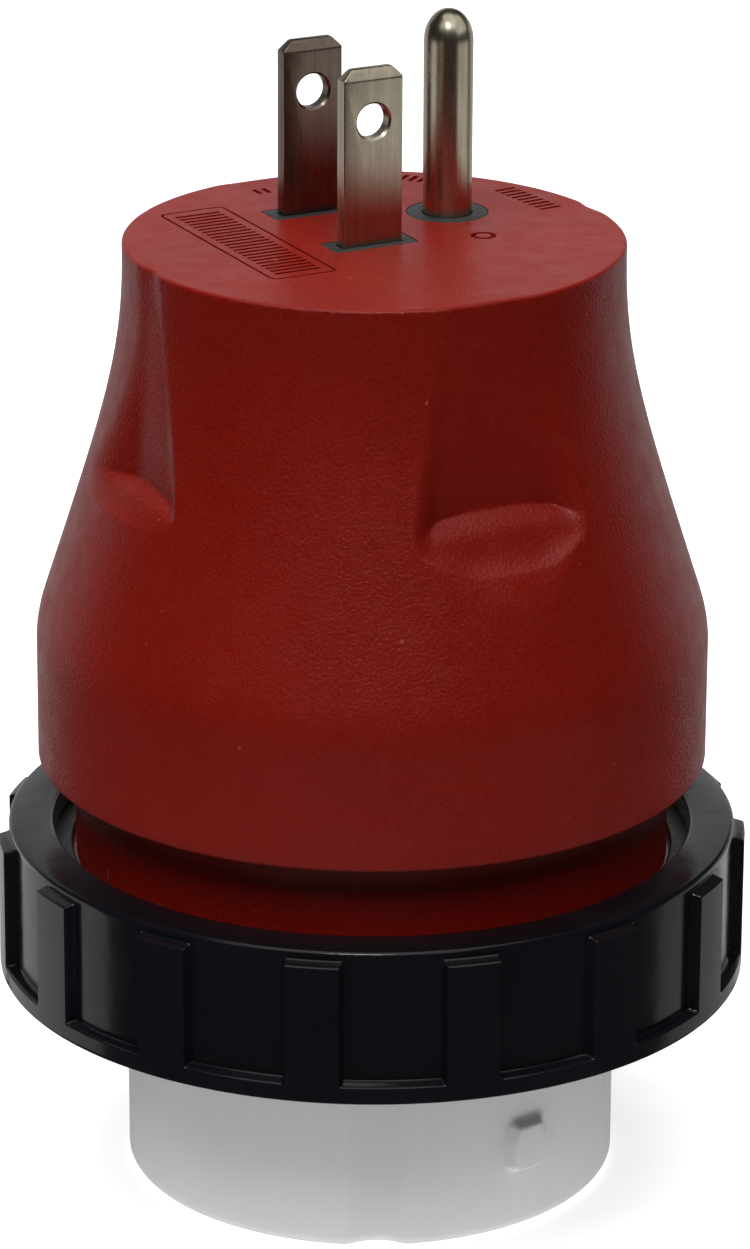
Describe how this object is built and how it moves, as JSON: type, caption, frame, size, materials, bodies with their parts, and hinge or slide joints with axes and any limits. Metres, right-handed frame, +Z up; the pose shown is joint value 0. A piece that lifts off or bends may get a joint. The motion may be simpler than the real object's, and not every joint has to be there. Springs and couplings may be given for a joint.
{
  "type": "recreational vehicle power adapter",
  "caption": "Moulded adapter from a straight-blade plug with ground pin to a locking connector, with finger grips and a loose threaded ring.",
  "frame": {"origin": "centre of the connector's flat face, on which the adapter stands", "axes": "+Z up through the prongs along the adapter's axis, +X along the blades' width towards the ground pin, +Y from the hot blade to the neutral blade"},
  "size_m": [0.0746, 0.0746, 0.1164],
  "materials": {
    "red_vinyl": "fine moulded grain, satin",
    "dark_nylon": "matte",
    "nickel": "satin nickel plate on brass",
    "white_nylon": "smooth, slightly glossy",
    "black_nylon": "glossy",
    "seal_rubber": "matte",
    "washer_plastic": "smooth black acetal",
    "contact_brass": "satin",
    "screw_steel": "zinc plated",
    "black_lead": "wire insulation",
    "white_lead": "wire insulation",
    "green_lead": "wire insulation"
  },
  "bodies": {
    "adapter": {"overmold_body": "red_vinyl", "plug_bridge": "dark_nylon", "hot_blade": "nickel", "neutral_blade": "nickel", "ground_pin": "nickel", "hot_crimp": "contact_brass", "neutral_crimp": "contact_brass", "ground_crimp": "contact_brass", "hot_lead": "black_lead", "hot_jumper": "black_lead", "neutral_lead": "white_lead", "ground_lead": "green_lead", "connector_barrel": "white_nylon", "contact_cover": "dark_nylon", "ground_clip": "contact_brass", "face_gasket": "seal_rubber", "contact_line_1": "contact_brass", "contact_line_2": "contact_brass", "contact_neutral": "contact_brass", "terminal_screw_line_1": "screw_steel", "terminal_screw_line_2": "screw_steel", "terminal_screw_neutral": "screw_steel", "terminal_screw_ground": "screw_steel", "cover_screw_1": "screw_steel", "cover_screw_2": "screw_steel", "cover_screw_3": "screw_steel"},
    "washer": {"slip_washer": "washer_plastic"},
    "ring": {"locking_ring": "black_nylon"}
  },
  "joints": [
    {"name": "ring_slide", "type": "slide", "parent": "adapter", "child": "washer", "axis": [0, 0, 1], "range_m": [0, 0.0065]},
    {"name": "ring_spin", "type": "hinge", "parent": "washer", "child": "ring", "pos_m": [0, 0, 0.03], "axis": [0, 0, 1], "continuous": true}
  ]
}
